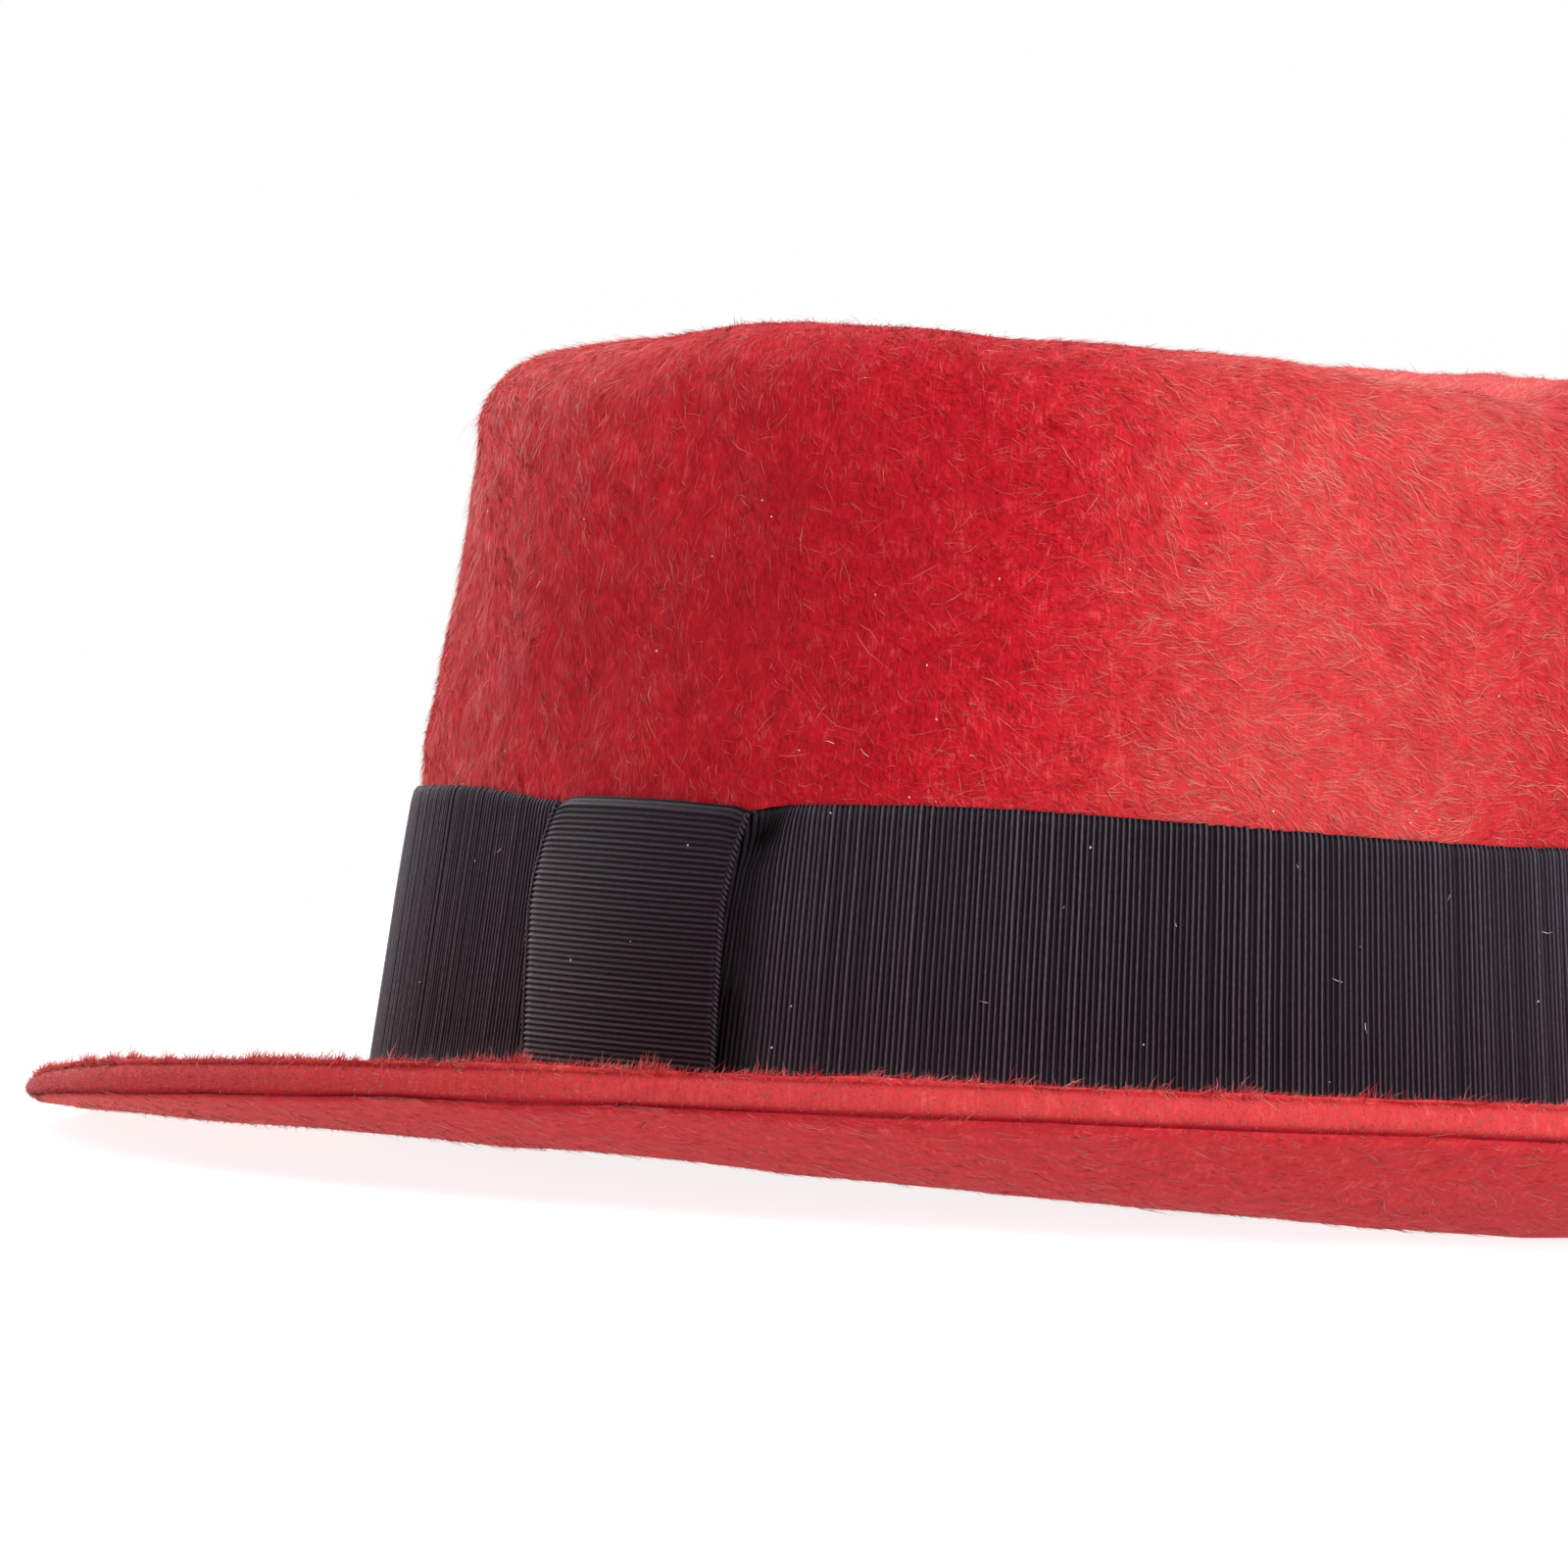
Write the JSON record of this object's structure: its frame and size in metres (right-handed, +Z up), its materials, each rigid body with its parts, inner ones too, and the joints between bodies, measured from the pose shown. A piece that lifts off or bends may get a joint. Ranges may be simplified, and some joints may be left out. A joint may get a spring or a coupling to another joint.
{
  "type": "fedora hat",
  "caption": "Felt fedora with a centre-creased crown, a curled brim and a flat ribbon band with a keeper; worn on the head, rests by itself on a table.",
  "frame": {"origin": "centre of the hat's outline from above, at table level under the brim", "axes": "+Z up through the crown; the front of the hat faces -Y and the wearer's left side is +X"},
  "size_m": [0.2736, 0.3084, 0.1214],
  "materials": {
    "felt": "long brushed nap",
    "ribbon": "ribbed grosgrain"
  },
  "bodies": {
    "root": {"felt_body": "felt", "ribbon_band": "ribbon", "ribbon_keeper": "ribbon"}
  },
  "joints": []
}
